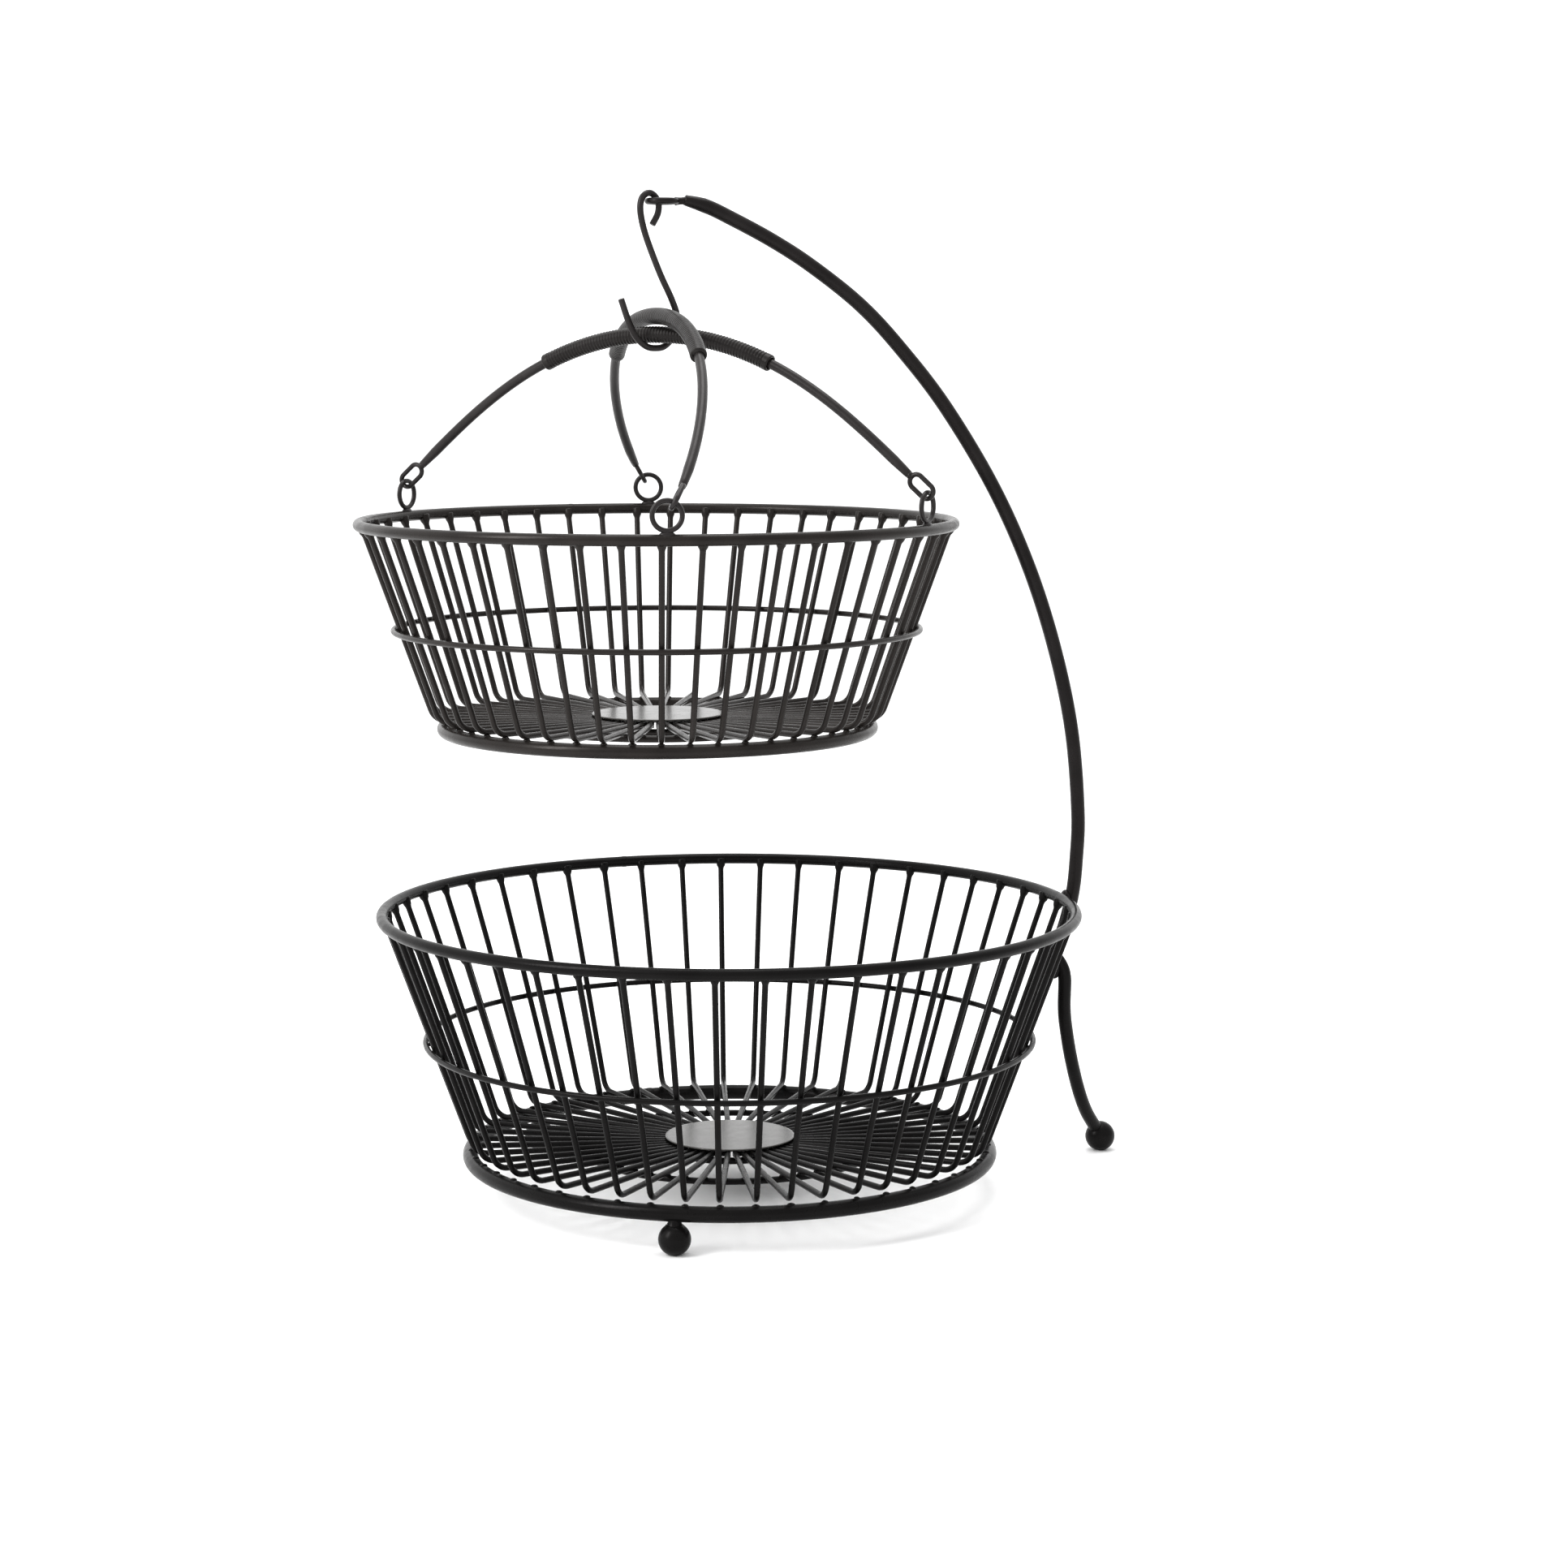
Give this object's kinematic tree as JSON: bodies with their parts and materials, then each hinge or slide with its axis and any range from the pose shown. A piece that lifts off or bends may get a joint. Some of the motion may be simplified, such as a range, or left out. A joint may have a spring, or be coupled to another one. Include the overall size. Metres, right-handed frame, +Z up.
{
  "type": "wire produce basket",
  "caption": "Round flared wire fruit basket on ball feet, with an arched arm holding a smaller wire basket on an S-hook by its crossed bail handles.",
  "frame": {"origin": "on the table, under the middle of the whole object's bounding box", "axes": "+Z up; +X from the baskets towards the foot of the arm; the arm's arch lies in the XZ plane"},
  "size_m": [0.3476, 0.3058, 0.432],
  "materials": {
    "powder_coat": "satin near-black powder coat",
    "grip_coil": "satin, finely ribbed"
  },
  "bodies": {
    "stand": {"arm_loop": "powder_coat", "arm_tube": "powder_coat", "back_ball_foot": "powder_coat", "front_ball_foot": "powder_coat", "leg_ball_foot": "powder_coat", "leg_tube": "powder_coat", "lower_foot_ring": "powder_coat", "lower_hub_disc": "powder_coat", "lower_hub_ring": "powder_coat", "lower_inner_ring": "powder_coat", "lower_mid_ring": "powder_coat", "lower_rim": "powder_coat", "lower_spokes_01": "powder_coat", "lower_spokes_02": "powder_coat", "lower_spokes_03": "powder_coat", "lower_spokes_04": "powder_coat", "lower_spokes_05": "powder_coat", "lower_spokes_06": "powder_coat", "lower_spokes_07": "powder_coat"},
    "hook": {"s_hook": "powder_coat"},
    "upper_basket": {"upper_eye_narrow_a": "powder_coat", "upper_eye_narrow_b": "powder_coat", "upper_eye_wide_a": "powder_coat", "upper_eye_wide_b": "powder_coat", "upper_foot_ring": "powder_coat", "upper_hub_disc": "powder_coat", "upper_hub_ring": "powder_coat", "upper_inner_ring": "powder_coat", "upper_mid_ring": "powder_coat", "upper_rim": "powder_coat", "upper_spokes_01": "powder_coat", "upper_spokes_02": "powder_coat", "upper_spokes_03": "powder_coat", "upper_spokes_04": "powder_coat", "upper_spokes_05": "powder_coat", "upper_spokes_06": "powder_coat", "upper_spokes_07": "powder_coat"},
    "wide_bail": {"wide_bail_grip": "grip_coil", "wide_bail_link_a": "powder_coat", "wide_bail_link_b": "powder_coat", "wide_bail_rod": "powder_coat"},
    "narrow_bail": {"narrow_bail_grip": "grip_coil", "narrow_bail_link_a": "powder_coat", "narrow_bail_link_b": "powder_coat", "narrow_bail_rod": "powder_coat"}
  },
  "joints": [
    {"name": "hook_swing", "type": "hinge", "parent": "stand", "child": "hook", "pos_m": [-0.048, 0, 0.4277], "axis": [0, 1, 0], "range_deg": [-3, 10]},
    {"name": "basket_swing", "type": "hinge", "parent": "hook", "child": "upper_basket", "pos_m": [-0.0448, 0, 0.3719], "axis": [-0.342, 0.9397, 0], "range_deg": [-4, 5]},
    {"name": "wide_bail_pivot", "type": "hinge", "parent": "upper_basket", "child": "wide_bail", "pos_m": [-0.0448, 0, 0.30775], "axis": [0.7632, -0.6461, 0], "range_deg": [-1, 1]},
    {"name": "narrow_bail_pivot", "type": "hinge", "parent": "upper_basket", "child": "narrow_bail", "pos_m": [-0.0448, 0, 0.30775], "axis": [-0.165, -0.9863, 0], "range_deg": [-2, 2]}
  ]
}
